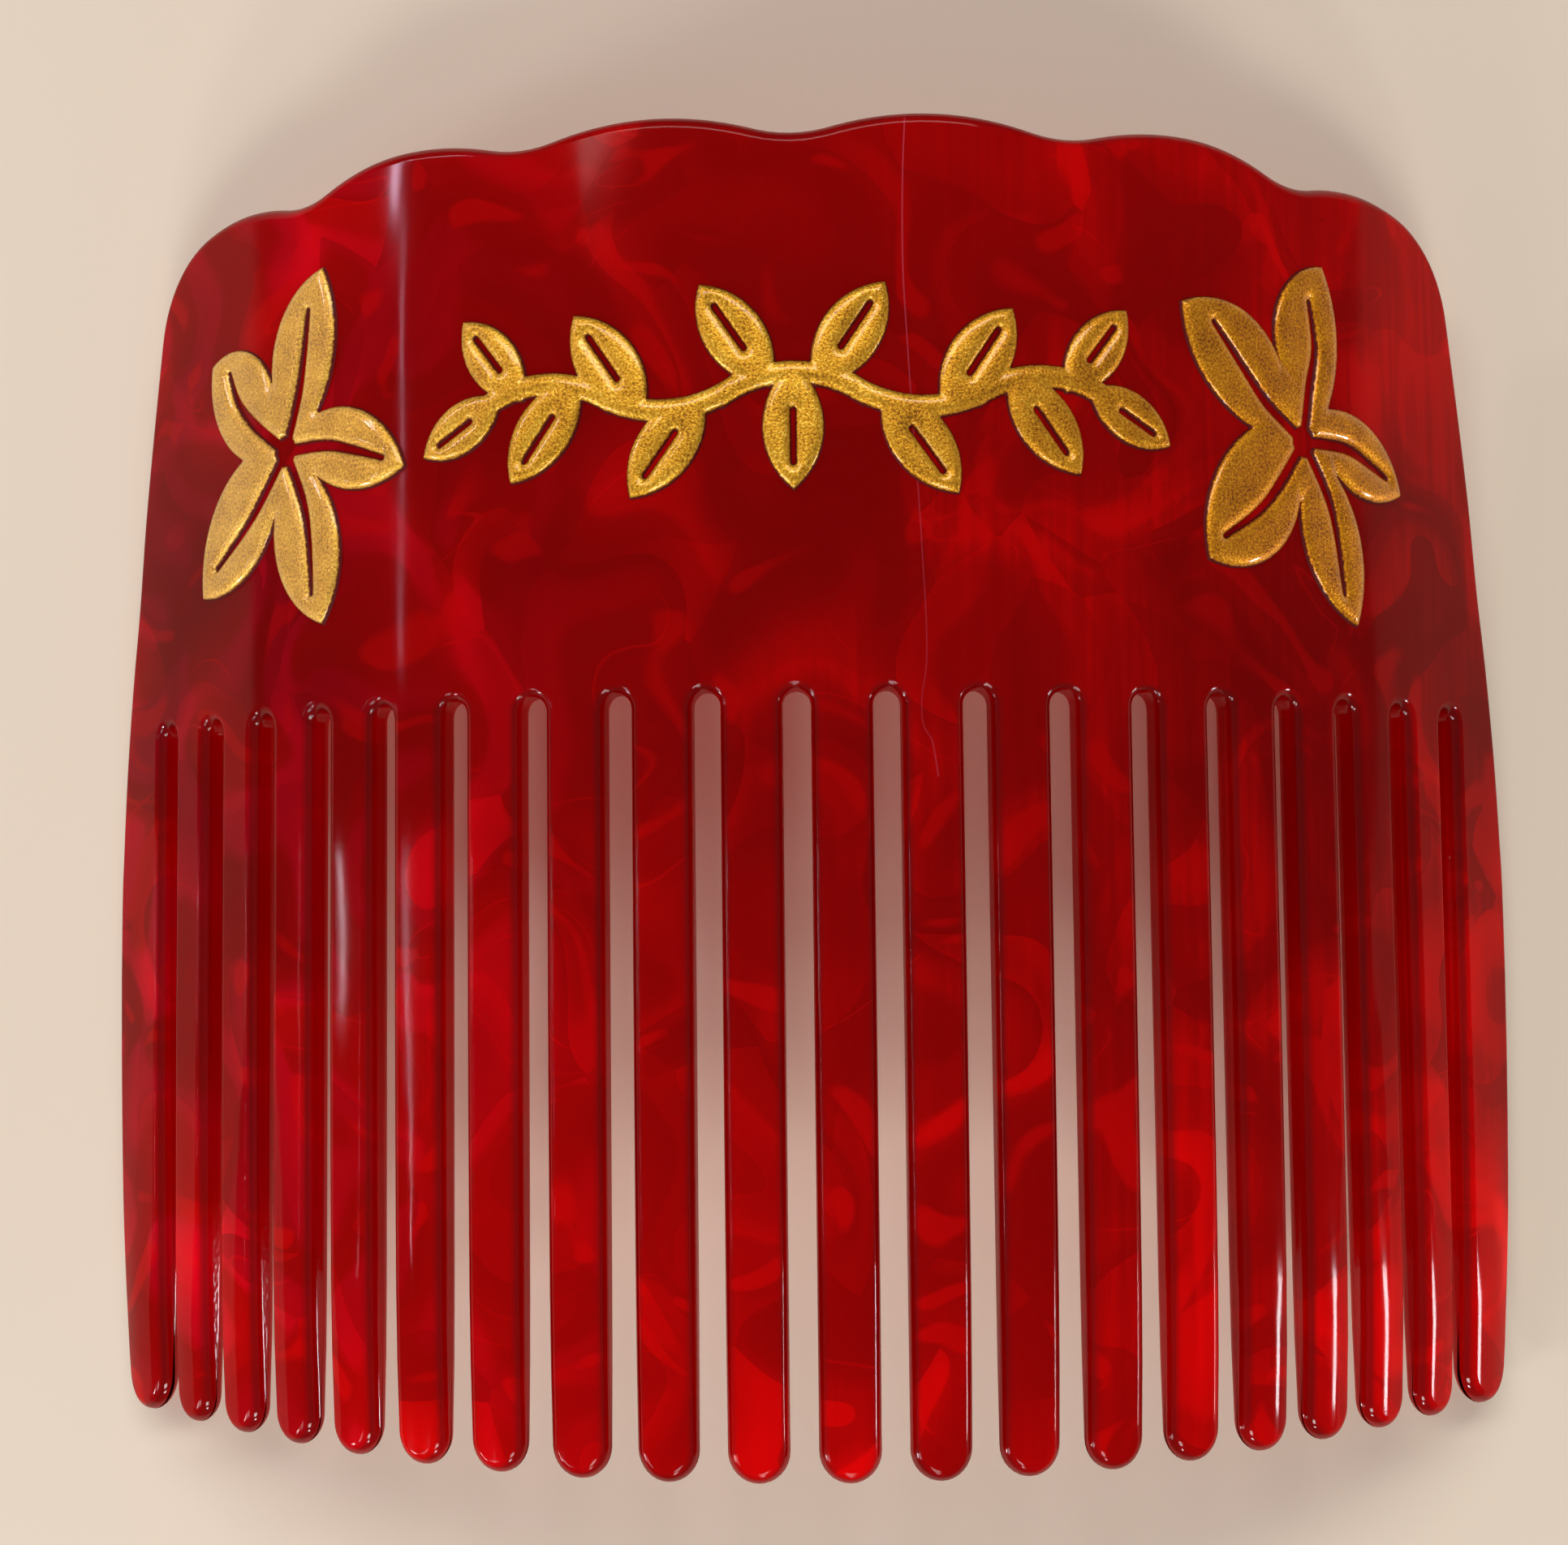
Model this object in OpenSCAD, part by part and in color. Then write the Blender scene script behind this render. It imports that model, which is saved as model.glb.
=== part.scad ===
// Hair comb lying on its two side edges: one arched sheet with twenty teeth, and a flower at each
// side with a leaf vine between them, all in low gold relief on the sheet.
// X runs across the comb, Y along the teeth towards the scalloped edge, Z up, all in millimetres.
// Places on the sheet are given as s, the arc length from the crest line, and as Y.

/* [Sheet] */
// thickness of the sheet
thickness = 2.6; // [2.2:0.1:3]
// outer radius of the middle of the arch
middle_radius = 62; // [58:1:66]
// outer radius of the flatter flanks
flank_radius = 135; // [120:5:160]
// arc length from the crest to where a flank starts
middle_reach = 38; // [37:0.5:39.5]
// arc length from the crest to the side edges
side_reach = 65; // [64.6:0.1:65.4]
// length over teeth and crests of the scallops
total_length = 95.2; // [92:0.5:98]

/* [Teeth] */
// distance from tooth to tooth along the arc
tooth_pitch = 6.4; // [6.35:0.05:6.45]
// width of the slots
slot_width = 2; // [1.8:0.1:2.2]
// depth of the slots from the tips
slot_depth = 54.2; // [50:0.5:56]
// radius of the tips
tip_radius = 2.3; // [2.3:0.05:2.5]

/* [Edges] */
// radius of the scallops
scallop_radius = 26.8; // [24:0.4:30]
// radius of the dips between the scallops
dip_radius = 9.6; // [8:0.4:12]
// radius of the top corners
corner_radius = 9.4; // [9.3:0.1:9.5]

/* [Relief] */
// height of the gold relief
relief_height = 0.5; // [0.4:0.05:0.8]
// gap that keeps the relief clear of the sheet
relief_gap = 0.05; // [0.03:0.01:0.08]
// width of the vine's stem
stem_width = 1.5; // [1.2:0.1:1.8]
// slit in each vine leaf
leaf_slit = 0.5; // [0.4:0.1:0.7]

/* [Hidden] */
margin = 2;
facets = 96;
arch_facets = 240;
degrees_per_radian = 180 / PI;
half_length = total_length / 2;
tip_y = -half_length;
slot_end_y = tip_y + slot_depth;
last_slot = 9;
tip_cut_width = tooth_pitch - slot_width / 2;

// the sheet's arch, in three parts that run smoothly into each other
LEFT_FLANK = -1;
MIDDLE = 0;
RIGHT_FLANK = 1;
middle_angle = middle_reach / middle_radius * degrees_per_radian;
flank_centre_x = (middle_radius - flank_radius) * sin(middle_angle);
flank_centre_drop = middle_radius - (middle_radius - flank_radius) * cos(middle_angle);
crest_z = sheet_drop(side_reach) + thickness * cos(sheet_angle(side_reach));

function sheet_angle(s) = abs(s) <= middle_reach
    ? s / middle_radius * degrees_per_radian
    : sign(s) * (middle_angle + (abs(s) - middle_reach) / flank_radius * degrees_per_radian);
function sheet_x(s) = abs(s) <= middle_reach
    ? middle_radius * sin(sheet_angle(s))
    : sign(s) * flank_centre_x + flank_radius * sin(sheet_angle(s));
function sheet_drop(s) = abs(s) <= middle_reach
    ? middle_radius * (1 - cos(sheet_angle(s)))
    : flank_centre_drop - flank_radius * cos(sheet_angle(s));
function local_x(arc) = middle_radius * sin(arc / middle_radius * degrees_per_radian);

// the side edges: full width below flare_y, then narrower in a straight line up to the corner
flare_y = 7.6;
flare_top_y = 36.6;
flare_top_reach = 59.5;
flare_frame = 62;
flare_slope = (side_reach - flare_top_reach) / (flare_top_y - flare_y);

// the wavy top edge, a row from each crest to the dip beside it: where the crest and the dip are,
// the crest's drop below the highest one, and the radii of crest and dip
CREST_S = 0;
DIP_S = 1;
CREST_DROP = 2;
CREST_RADIUS = 3;
DIP_RADIUS = 4;
waves = [
    [10.3, 0, 0, scallop_radius, dip_radius],
    [10.3, 20, 0, scallop_radius, dip_radius],
    [29.7, 20, 0, scallop_radius, dip_radius],
    [29.7, 40.8, 0, 21, 7.9],
    [47.2, 40.8, 1.4, 19, 9],
];
last_wave = waves[4];
edge_clearance = 0.02;
dip_steps = 20;
outer_steps = 26;

// the top corners: the last crest's arc runs on into a tighter one
corner_frame = 45;
corner_join_s = 52.9;
corner_steps = 9;
corner_scallop_y = half_length - last_wave[CREST_DROP] - last_wave[CREST_RADIUS];
join_sine = (corner_join_s - last_wave[CREST_S]) / last_wave[CREST_RADIUS];
join_cosine = sqrt(1 - join_sine * join_sine);
corner_s = corner_join_s - corner_radius * join_sine;
corner_y = corner_scallop_y + (last_wave[CREST_RADIUS] - corner_radius) * join_cosine;
corner_first_angle = acos(join_sine);
corner_last_angle = 10.4;

function wave_at(s) = waves[s < 10.3 ? 0 : s < 20 ? 1 : s < 29.7 ? 2 : s < 40.8 ? 3 : 4];
function wave_drop(away, half_wave, crest_r, dip_r) = away < half_wave * crest_r / (crest_r + dip_r)
    ? away * away / (2 * crest_r)
    : half_wave * half_wave / (2 * (crest_r + dip_r)) - pow(half_wave - away, 2) / (2 * dip_r);
function last_crest_drop(s) = last_wave[CREST_DROP] + last_wave[CREST_RADIUS]
    - sqrt(pow(last_wave[CREST_RADIUS], 2) - pow(s - last_wave[CREST_S], 2));
function row_drop(s, row) = row[CREST_DROP] + wave_drop(
    abs(s - row[CREST_S]), abs(row[CREST_S] - row[DIP_S]), row[CREST_RADIUS], row[DIP_RADIUS]);
function edge_drop(s) = s > last_wave[CREST_S] ? last_crest_drop(s) : row_drop(s, wave_at(s));
function edge_y(s) = half_length + edge_clearance - edge_drop(abs(s));

// the end teeth are wider, and their outer edges run in a little towards the tips
end_tip_s = 61.35;
end_tip_radius = 3;
taper_y = -30;
taper_tip_reach = 63.9;
taper_slope = (side_reach - taper_tip_reach) / (taper_y - tip_y);

// the flowers: a row for each petal, with its direction and length from the middle, where its
// left and right arcs start and how far they bulge, and the slit's side offsets and end
PETAL_ANGLE = 0;
PETAL_LENGTH = 1;
LEFT_START = 2;
LEFT_BULGE = 3;
RIGHT_START = 4;
RIGHT_BULGE = 5;
SLIT_NEAR = 6;
SLIT_MIDDLE = 7;
SLIT_FAR = 8;
SLIT_END = 9;
left_petals = [
    [73, 14, 1.4, 3.7, -0.6, 3.1, -0.2, 0.1, 0.6, 10.7],
    [-12, 12.4, -0.2, 3.8, 1.8, 2.2, 0.8, 0.7, 0.4, 10.3],
    [-73, 14.1, 0.2, 3.6, 1.5, 3.4, 0.7, 0.5, -0.4, 11.5],
    [-135, 14.5, 1.3, 3.3, -1.5, 4, 0.4, 0.4, -0.2, 11.7],
    [139, 12.1, -0.4, 3.6, 2.5, 3.6, 0.5, 0.3, -0.8, 9.8],
];
right_petals = [
    [80, 13.8, 3, 4.2, -0.8, 2.6, 0, -0.1, 1, 10.7],
    [141, 14.6, 0.2, 3.3, 2.4, 3.7, 0.4, 0, -0.8, 11.7],
    [-15, 11.4, -1.7, 4, 2.4, 1.8, 1.2, 1, 0.7, 9.4],
    [-68, 14.5, -0.1, 3.1, 1.3, 3, 0.8, 0.6, -0.4, 11.8],
    [-135, 13.3, 1.3, 3.9, -2, 4.3, 0.6, 0.6, -0.2, 11.1],
];
slit_near_u = 4.3;
slit_middle_u = 7.4;
slit_near_half = 0.4;
slit_middle_half = 0.3;
slit_end_half = 0.2;
flower_eye = 1.2;
left_flower = [-41.7, 26.6];
right_flower = [40.4, 25.9];
// the notches between the petals, as offsets from the middle
left_notches = [[3.7, 2.5], [-1.6, 5.5], [-5.1, 0], [-1.3, -5], [3.6, -2.3]];
right_notches = [[2.8, 2.8], [-2.3, 5.7], [-5.2, 0.5], [-0.6, -4.6], [3.4, -2.1]];

// the vine: arcs of stem that rise and fall in turn, and a row for each leaf with its base,
// direction, length and half width
vine_y = 27.6;
stem_radius = 9;
stem_half_angle = 30;
stem_chord = 2 * stem_radius * sin(stem_half_angle);
stem_rise = stem_radius * cos(stem_half_angle);
stem_arcs = [0, 1, 2];
stem_overlap_angle = 2;
LEAF_S = 0;
LEAF_RISE = 1;
LEAF_ANGLE = 2;
LEAF_LENGTH = 3;
LEAF_BULGE = 4;
leaves = [
    [2, 0.9, 56, 8, 2.1],
    [6.8, -0.8, -54, 8, 2.1],
    [11, -0.9, 56, 8.2, 2.2],
    [15.8, 0.8, -54, 8, 2.1],
    [20, 0.8, 52, 7, 1.9],
    [22, 0.1, -30, 6.6, 1.8],
];
centre_leaf = [0, 1, -90, 8, 2.1];
leaf_root = 0.8;
leaf_slit_start = 0.28;
leaf_slit_stop = 0.8;

// puts something on the outer face of the sheet, with its own Z along the sheet's normal
module on_sheet(s) {
    translate([sheet_x(s), 0, crest_z - sheet_drop(s)])
        rotate([0, sheet_angle(s), 0])
            children();
}

module both_sides() {
    children();
    mirror([1, 0, 0])
        children();
}

// a stretch of a cylindrical shell, between two angles from the vertical
module sector(inner, outer, from_angle, to_angle) {
    rotate([90, 0, 0])
        rotate([0, 0, 90 - to_angle])
            rotate_extrude(angle = to_angle - from_angle, $fn = arch_facets)
                translate([inner, -half_length])
                    square([outer - inner, total_length + margin]);
}

// one part of the arch between two heights over its outer face
module arch_part(part, low, high) {
    if (part == MIDDLE)
        translate([0, 0, crest_z - middle_radius])
            sector(middle_radius + low, middle_radius + high, -middle_angle, middle_angle);
    else
        mirror([part == LEFT_FLANK ? 1 : 0, 0, 0])
            translate([flank_centre_x, 0, crest_z - flank_centre_drop])
                sector(flank_radius + low, flank_radius + high, middle_angle, sheet_angle(side_reach));
}

// cuts straight through the sheet
module through_cut() {
    translate([0, 0, -thickness - margin])
        linear_extrude(height = thickness + 2 * margin)
            children();
}

module slot_cut(s) {
    round_y = slot_end_y - slot_width / 2;
    on_sheet(s) {
        translate([-slot_width / 2, tip_y - 2 * margin, -thickness - margin])
            cube([slot_width, round_y - tip_y + 2 * margin, thickness + 2 * margin]);
        translate([0, round_y, -thickness - margin])
            cylinder(r = slot_width / 2, h = thickness + 2 * margin, $fn = facets);
    }
}

module tip_cut(s) {
    on_sheet(s)
        through_cut()
            difference() {
                translate([-tip_cut_width / 2, tip_y - 2 * margin])
                    square([tip_cut_width, tip_radius + 2 * margin]);
                translate([0, tip_y + tip_radius])
                    circle(r = tip_radius, $fn = facets);
            }
}

module end_tip_cut() {
    reach = end_tip_s - last_slot * tooth_pitch;
    width = reach + side_reach - end_tip_s + margin;
    on_sheet(end_tip_s)
        through_cut()
            difference() {
                translate([-reach, tip_y - 2 * margin])
                    square([width, end_tip_radius + 2 * margin]);
                translate([0, tip_y + end_tip_radius])
                    circle(r = end_tip_radius, $fn = facets);
            }
}

module end_taper_cut() {
    low_y = tip_y - margin;
    edge_x = side_reach - end_tip_s;
    outside_x = edge_x + margin;
    on_sheet(end_tip_s)
        through_cut()
            polygon([
                [edge_x, taper_y],
                [outside_x, taper_y],
                [outside_x, low_y],
                [edge_x - taper_slope * (taper_y - low_y), low_y],
            ]);
}

module side_cut() {
    top_y = half_length + margin;
    edge_x = side_reach - flare_frame;
    outside_x = edge_x + 3 * margin;
    on_sheet(flare_frame)
        through_cut()
            polygon([
                [edge_x, flare_y],
                [edge_x - flare_slope * (top_y - flare_y), top_y],
                [outside_x, top_y],
                [outside_x, flare_y],
            ]);
}

// the dip between two crests of the middle part
module dip_cut(dip, from_s, to_s) {
    top_y = half_length + margin;
    places = [for (step = [0 : dip_steps]) from_s + (to_s - from_s) * step / dip_steps];
    on_sheet(dip)
        through_cut()
            polygon(concat(
                [for (s = places) [local_x(s - dip), edge_y(s)]],
                [[local_x(to_s - dip), top_y], [local_x(from_s - dip), top_y]]
            ));
}

// the outermost dip, the last crest and the corner
module corner_cut() {
    top_y = half_length + margin;
    from_s = waves[3][CREST_S];
    to_s = corner_join_s;
    outside_x = side_reach - corner_frame + margin;
    places = [for (step = [0 : outer_steps]) from_s + (to_s - from_s) * step / outer_steps];
    turn = corner_first_angle - corner_last_angle;
    angles = [for (step = [1 : corner_steps]) corner_first_angle - turn * step / corner_steps];
    last_y = corner_y + corner_radius * sin(corner_last_angle);
    on_sheet(corner_frame)
        through_cut()
            polygon(concat(
                [for (s = places) [s - corner_frame, edge_y(s)]],
                [for (a = angles)
                    [corner_s - corner_frame + corner_radius * cos(a), corner_y + corner_radius * sin(a)]],
                [[outside_x, last_y], [outside_x, top_y], [from_s - corner_frame, top_y]]
            ));
}

module slotted_part(part) {
    difference() {
        arch_part(part, -thickness, 0);
        for (slot = [-last_slot : last_slot])
            slot_cut(slot * tooth_pitch);
    }
}

module toothed_part(part) {
    difference() {
        difference() {
            slotted_part(part);
            for (tooth = [-last_slot : last_slot - 1])
                tip_cut((tooth + 0.5) * tooth_pitch);
            both_sides()
                end_taper_cut();
        }
        both_sides()
            end_tip_cut();
    }
}

module comb() {
    color([0.45, 0.02, 0.03])
        for (part = [LEFT_FLANK, MIDDLE, RIGHT_FLANK])
            difference() {
                difference() {
                    toothed_part(part);
                    dip_cut(waves[0][DIP_S], -waves[0][CREST_S], waves[0][CREST_S]);
                    both_sides() {
                        dip_cut(waves[1][DIP_S], waves[1][CREST_S], waves[2][CREST_S]);
                        corner_cut();
                    }
                }
                both_sides()
                    side_cut();
            }
}

// the disc whose edge runs from start to stop on the u axis and bulges to one side of it
module bulge_disc(start, stop, bulge, side) {
    half = (stop - start) / 2;
    radius = (half * half + bulge * bulge) / (2 * bulge);
    translate([(start + stop) / 2, side * (bulge - radius)])
        circle(r = radius, $fn = facets);
}

module petal(row) {
    intersection() {
        bulge_disc(row[LEFT_START], row[PETAL_LENGTH], row[LEFT_BULGE], 1);
        bulge_disc(row[RIGHT_START], row[PETAL_LENGTH], row[RIGHT_BULGE], -1);
    }
}

module petal_slit(row) {
    polygon([
        [0, slit_near_half],
        [slit_near_u, row[SLIT_NEAR] + slit_near_half],
        [slit_middle_u, row[SLIT_MIDDLE] + slit_middle_half],
        [row[SLIT_END], row[SLIT_FAR] + slit_end_half],
        [row[SLIT_END], row[SLIT_FAR] - slit_end_half],
        [slit_middle_u, row[SLIT_MIDDLE] - slit_middle_half],
        [slit_near_u, row[SLIT_NEAR] - slit_near_half],
        [0, -slit_near_half],
    ]);
}

module relief_block(half_height) {
    translate([0, 0, -half_height])
        linear_extrude(height = 2 * half_height)
            children();
}

module relief_flower(place, petals, notches, parts) {
    color([0.8, 0.6, 0.25])
        for (part = parts)
            difference() {
                intersection() {
                    arch_part(part, relief_gap, relief_gap + relief_height);
                    on_sheet(place[0])
                        translate([0, place[1], 0]) {
                            for (row = petals)
                                rotate(row[PETAL_ANGLE])
                                    relief_block(margin)
                                        petal(row);
                            relief_block(margin)
                                polygon(notches);
                        }
                }
                on_sheet(place[0])
                    translate([0, place[1], 0]) {
                        for (row = petals)
                            rotate(row[PETAL_ANGLE])
                                relief_block(2 * margin)
                                    petal_slit(row);
                        relief_block(2.5 * margin)
                            circle(r = flower_eye, $fn = facets);
                    }
            }
}

module flower_left() {
    relief_flower(left_flower, left_petals, left_notches, [LEFT_FLANK, MIDDLE]);
}

module flower_right() {
    relief_flower(right_flower, right_petals, right_notches, [MIDDLE, RIGHT_FLANK]);
}

// one arc of the stem, bent up or down about the vine's line
module stem_arc(up) {
    reach = stem_half_angle + stem_overlap_angle;
    outer = stem_radius + stem_width / 2;
    far_y = outer + margin;
    mirror([0, up > 0 ? 0 : 1, 0])
        translate([0, -stem_rise])
            intersection() {
                difference() {
                    circle(r = outer, $fn = 2 * facets);
                    circle(r = outer - stem_width, $fn = 2 * facets);
                }
                polygon([
                    [0, 0],
                    [far_y * tan(reach), far_y],
                    [-far_y * tan(reach), far_y],
                ]);
            }
}

module leaf(row) {
    translate([0, row[LEAF_RISE]])
        rotate(row[LEAF_ANGLE])
            difference() {
                intersection() {
                    bulge_disc(-leaf_root, row[LEAF_LENGTH], row[LEAF_BULGE], 1);
                    bulge_disc(-leaf_root, row[LEAF_LENGTH], row[LEAF_BULGE], -1);
                }
                translate([leaf_slit_start * row[LEAF_LENGTH], -leaf_slit / 2])
                    square([(leaf_slit_stop - leaf_slit_start) * row[LEAF_LENGTH], leaf_slit]);
            }
}

module vine_half() {
    for (arc = stem_arcs)
        on_sheet(arc * stem_chord)
            relief_block(margin)
                translate([0, vine_y])
                    stem_arc(arc % 2 == 0 ? 1 : -1);
    for (row = leaves)
        on_sheet(row[LEAF_S])
            relief_block(margin)
                translate([0, vine_y])
                    leaf(row);
}

module vine() {
    color([0.8, 0.6, 0.25])
        intersection() {
            arch_part(MIDDLE, relief_gap, relief_gap + relief_height);
            union() {
                both_sides()
                    vine_half();
                on_sheet(0)
                    relief_block(margin)
                        translate([0, vine_y])
                            leaf(centre_leaf);
            }
        }
}

comb();
flower_left();
flower_right();
vine();
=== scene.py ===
import math

import bpy
import numpy as np
from mathutils import Euler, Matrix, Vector
from mathutils.geometry import delaunay_2d_cdt


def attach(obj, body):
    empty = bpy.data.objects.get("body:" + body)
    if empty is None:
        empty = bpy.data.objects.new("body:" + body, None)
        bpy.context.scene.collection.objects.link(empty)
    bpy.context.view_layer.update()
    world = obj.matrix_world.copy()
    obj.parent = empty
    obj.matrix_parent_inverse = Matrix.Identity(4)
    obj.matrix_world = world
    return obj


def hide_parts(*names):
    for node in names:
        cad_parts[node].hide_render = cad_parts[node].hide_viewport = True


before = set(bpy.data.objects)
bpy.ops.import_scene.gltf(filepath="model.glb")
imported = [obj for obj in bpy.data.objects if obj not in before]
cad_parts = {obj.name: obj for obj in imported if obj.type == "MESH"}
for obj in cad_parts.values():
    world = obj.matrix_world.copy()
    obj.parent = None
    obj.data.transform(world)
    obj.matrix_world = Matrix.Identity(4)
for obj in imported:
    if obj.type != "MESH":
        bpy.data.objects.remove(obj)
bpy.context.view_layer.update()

# Lengths are in millimetres unless a name ends in _M, and MM turns them into metres
MM = 0.001
# A distance beyond everything in the flat drawings of the relief
FAR = 1e3

# The sheet, as in the source
THICKNESS = 2.6
MIDDLE_RADIUS = 62
MIDDLE_REACH = 38
FLANK_RADIUS = 135
CREST_Z = 30.717
TOP_Y = 47.6
TIP_Y = -47.6
PITCH = 6.4
LAST_SLOT = 9
SLOT_HALF = 1.0
SLOT_CENTRE_Y = 5.6
TIP_RADIUS = 2.2
END_TIP_RADIUS = 2.95
END_TIP_S = 61.55
FLANK_ANGLE = MIDDLE_REACH / MIDDLE_RADIUS
FLANK_X = (MIDDLE_RADIUS - FLANK_RADIUS) * math.sin(FLANK_ANGLE)
FLANK_DROP = MIDDLE_RADIUS - (MIDDLE_RADIUS - FLANK_RADIUS) * math.cos(FLANK_ANGLE)

# Wavy top edge: columns crest_s, dip_s, crest_drop, crest_radius, dip_radius
WAVES = [
    [10.3, 0, 0, 26.8, 9.6],
    [10.3, 20, 0, 26.8, 9.6],
    [29.7, 20, 0, 26.8, 9.6],
    [29.7, 40.8, 0, 21, 7.9],
    [47.2, 40.8, 1.4, 19, 9],
]
LAST_CREST_S, _, LAST_CREST_DROP, LAST_CREST_RADIUS, _ = WAVES[-1]

# Round top corner: where the waves end, the arc's centre and radius, and its two ends in degrees
JOIN_S = 52.9
CORNER_S = 50.08
CORNER_Y = 36.358
CORNER_RADIUS = 9.4
CORNER_START = 72.5
CORNER_END = 10.4

# Side edge: columns y, s
SIDE = [
    [38.05, 59.33],
    [36.6, 59.6],
    [30.1, 60.8],
    [23.6, 61.9],
    [16.6, 62.8],
    [10.6, 63.8],
    [3.6, 64.7],
    [-3.4, 65.25],
    [-9.4, 65.5],
    [-30, 65.5],
    [-36, 65.2],
    [-44.65, 64.5],
]

# Fineness of the comb's outline and of its rounded edge
EDGE_RADIUS = 0.95
EDGE_STEPS = 6
WAVE_STEP = 0.8
TOOTH_STEP = 5.0
CORNER_STEPS = 12
CURVE_STEPS = 4
TIP_STEPS = 16
END_TIP_STEPS = 18
SLOT_STEP_DEGREES = 15

# Points inside the faces: rows and slightly closer columns on the plate, and one line along each tooth
ROW_STEP = 1.6
COLUMN_SHARE = 0.95
COLUMNS_EACH_WAY = 42
INNER_CLEAR = 0.6
FIRST_ROW_CLEAR = 1.2
TOOTH_LINE_START = 3
TOOTH_LINE_BEYOND = 1.5
MERGE_DISTANCE = 1e-6

# The teeth thin towards their tips, more on the outer face than on the inner one
TAPER_REACH = 12.0
TAPER_OUTER = 0.5
TAPER_INNER = 0.3
# and their outer face turns from flat to slightly round
CROWN = 0.25
CROWN_START_Y = -10.0
CROWN_FULL_Y = -40.0


def sheet_angle(s):
    """The sheet's slope at arc length s, in radians."""
    a = abs(s)
    turn = a / MIDDLE_RADIUS if a <= MIDDLE_REACH else FLANK_ANGLE + (a - MIDDLE_REACH) / FLANK_RADIUS
    return math.copysign(turn, s)


def place(s, y, depth):
    """A point of the sheet in metres, depth below its outer face."""
    turn = sheet_angle(s)
    a = abs(turn)
    if abs(s) <= MIDDLE_REACH:
        x = MIDDLE_RADIUS * math.sin(a)
        drop = MIDDLE_RADIUS * (1 - math.cos(a))
    else:
        x = FLANK_X + FLANK_RADIUS * math.sin(a)
        drop = FLANK_DROP - FLANK_RADIUS * math.cos(a)
    x = math.copysign(x, s)
    return Vector((
        (x - depth * math.sin(turn)) * MM,
        y * MM,
        (CREST_Z - drop - depth * math.cos(turn)) * MM,
    ))


def direction(s, along, up, out):
    """A unit vector made of parts across the sheet, along y and out of its face."""
    turn = sheet_angle(s)
    v = Vector((
        along * math.cos(turn) + out * math.sin(turn),
        up,
        -along * math.sin(turn) + out * math.cos(turn),
    ))
    return v.normalized()


def tooth_middle(k):
    """Arc length of the middle of the tooth between slots k and k + 1; the end teeth are wider."""
    middle = (k + 0.5) * PITCH
    return math.copysign(END_TIP_S, middle) if abs(middle) > LAST_SLOT * PITCH else middle


def taper(y, depth):
    """(how much thinner the tooth is at y on the face nearer to depth, slope), 0 above the tips."""
    near = max(0.0, TIP_Y + TAPER_REACH - y) / TAPER_REACH
    size = TAPER_OUTER if depth < THICKNESS / 2 else TAPER_INNER
    return size * near**2, 2 * size * near / TAPER_REACH


def crown(s, y):
    """(how far the tooth's outer face falls away at its sides, slope across it)."""
    reach = min(1.0, max(0.0, (y - CROWN_START_Y) / (CROWN_FULL_Y - CROWN_START_Y)))
    off = (s - tooth_middle(math.floor(s / PITCH))) / TIP_RADIUS
    size = CROWN * reach * reach
    return size * off**2, 2 * size * off / TIP_RADIUS


def top_drop(s):
    """(how far the top edge is below its crest, slope) at arc length s."""
    if s > LAST_CREST_S:
        away = s - LAST_CREST_S
        rise = math.sqrt(LAST_CREST_RADIUS**2 - away**2)
        return LAST_CREST_DROP + LAST_CREST_RADIUS - rise, away / rise
    for crest, dip, drop, crest_radius, dip_radius in WAVES:
        if min(crest, dip) <= s <= max(crest, dip):
            half = abs(crest - dip)
            away = abs(s - crest)
            side = 1 if s > crest else -1
            turn = half * crest_radius / (crest_radius + dip_radius)
            if away < turn:
                return drop + away**2 / (2 * crest_radius), side * away / crest_radius
            full = half**2 / (2 * (crest_radius + dip_radius))
            rest = half - away
            return drop + full - rest**2 / (2 * dip_radius), side * rest / dip_radius
    return 0, 0


def smooth_path(rows, steps):
    """Points of a Catmull-Rom curve through rows of two values."""
    points = []
    for i in range(len(rows) - 1):
        a = rows[max(i - 1, 0)]
        b = rows[i]
        c = rows[i + 1]
        d = rows[min(i + 2, len(rows) - 1)]
        for k in range(steps):
            t = k / steps
            points.append([
                0.5 * (2 * b[j] + (c[j] - a[j]) * t + (2 * a[j] - 5 * b[j] + 4 * c[j] - d[j]) * t**2
                       + (3 * b[j] - a[j] - 3 * c[j] + d[j]) * t**3)
                for j in (0, 1)
            ])
    points.append(list(rows[-1]))
    return points


def arc(s, y, radius, start, end, steps, hollow=False):
    """Points (s, y, normal_s, normal_y) of an arc with both ends; a hollow one has its normals inwards."""
    side = -1 if hollow else 1
    points = []
    for k in range(steps + 1):
        a = math.radians(start + (end - start) * k / steps)
        points.append((
            s + radius * math.cos(a),
            y + radius * math.sin(a),
            side * math.cos(a),
            side * math.sin(a),
        ))
    return points


def straight(s, y_start, y_end, side):
    """Points along a straight tooth edge, ends left out."""
    count = max(2, round(abs(y_end - y_start) / TOOTH_STEP))
    return [(s, y_start + (y_end - y_start) * k / count, side, 0) for k in range(1, count)]


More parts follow.
